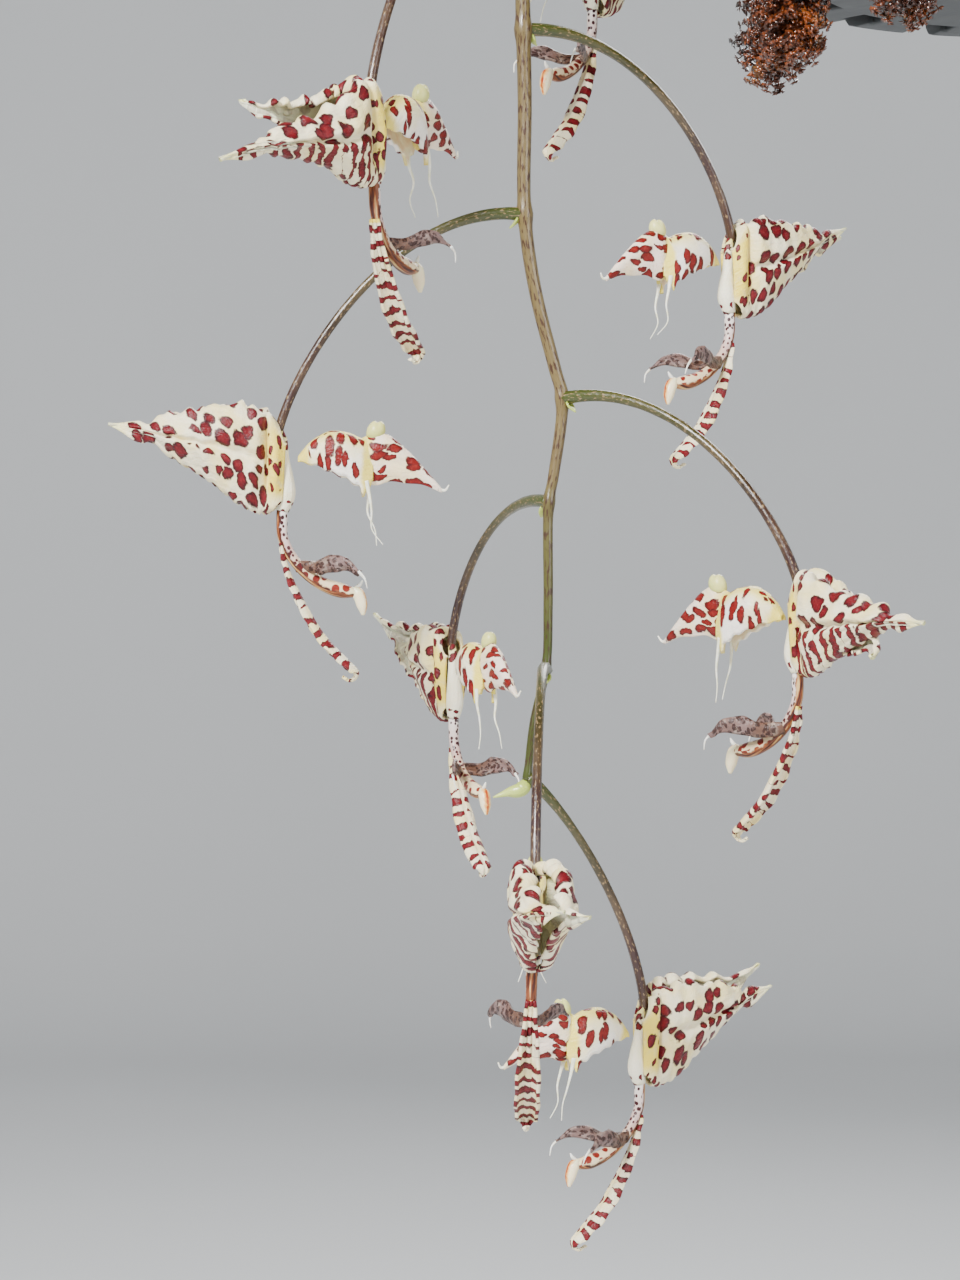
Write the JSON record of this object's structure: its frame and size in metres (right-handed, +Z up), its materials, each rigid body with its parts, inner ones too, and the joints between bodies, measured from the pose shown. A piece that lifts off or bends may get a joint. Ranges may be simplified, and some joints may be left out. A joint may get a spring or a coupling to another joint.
{
  "type": "potted hanging orchid",
  "caption": "Hanging pot of an orchid with ribbed bulbs, pleated leaves and a flower spike of spotted blooms that hangs down beside the pot.",
  "frame": {"origin": "the point under the hook's crook where it rests on the rail that it hangs from, on the pot's axis", "axes": "+Z up along the pot's axis, -Y the front, from which all the blooms are seen beside the pot, and the flower spike on the -X side"},
  "size_m": [0.3625, 0.3992, 0.5637],
  "materials": {
    "steel_wire": "drawn galvanised wire",
    "pot_plastic": "moulded polypropylene, satin",
    "sphagnum": "wet orange-brown moss and bark",
    "bulb_skin": "waxy ribbed green skin",
    "leaf_skin": "thin pleated leaf, satin",
    "stem_skin": "tan stem flecked red brown, olive to maroon stalks",
    "sepal_skin": "cream petal skin with crimson spots",
    "column_skin": "white to orange-brown petal skin with crimson bars",
    "lip_skin": "waxy cream and yellow with crimson blotches"
  },
  "bodies": {
    "root": {"hanger_hook": "steel_wire", "hanger_wire_1": "steel_wire", "hanger_wire_2": "steel_wire", "hanger_wire_3": "steel_wire", "pot": "pot_plastic", "growing_medium": "sphagnum", "pseudobulb_1": "bulb_skin", "pseudobulb_2": "bulb_skin", "pseudobulb_3": "bulb_skin", "pseudobulb_4": "bulb_skin", "pseudobulb_5": "bulb_skin", "leaf_1": "leaf_skin", "leaf_2": "leaf_skin", "leaf_3": "leaf_skin", "leaf_4": "leaf_skin", "leaf_5": "leaf_skin", "leaf_6": "leaf_skin", "leaf_7": "leaf_skin", "flower_stem": "stem_skin", "bloom_a_sepals": "sepal_skin", "bloom_a_column": "column_skin", "bloom_a_lip": "lip_skin", "bloom_b_sepals": "sepal_skin", "bloom_b_column": "column_skin", "bloom_b_lip": "lip_skin", "bloom_c_sepals": "sepal_skin", "bloom_c_column": "column_skin", "bloom_c_lip": "lip_skin", "bloom_d_sepals": "sepal_skin", "bloom_d_column": "column_skin", "bloom_d_lip": "lip_skin", "bloom_e_sepals": "sepal_skin", "bloom_e_column": "column_skin", "bloom_e_lip": "lip_skin", "bloom_f_sepals": "sepal_skin", "bloom_f_column": "column_skin", "bloom_f_lip": "lip_skin", "bloom_g_sepals": "sepal_skin", "bloom_g_column": "column_skin", "bloom_g_lip": "lip_skin", "bloom_h_sepals": "sepal_skin", "bloom_h_column": "column_skin", "bloom_h_lip": "lip_skin"}
  },
  "joints": []
}
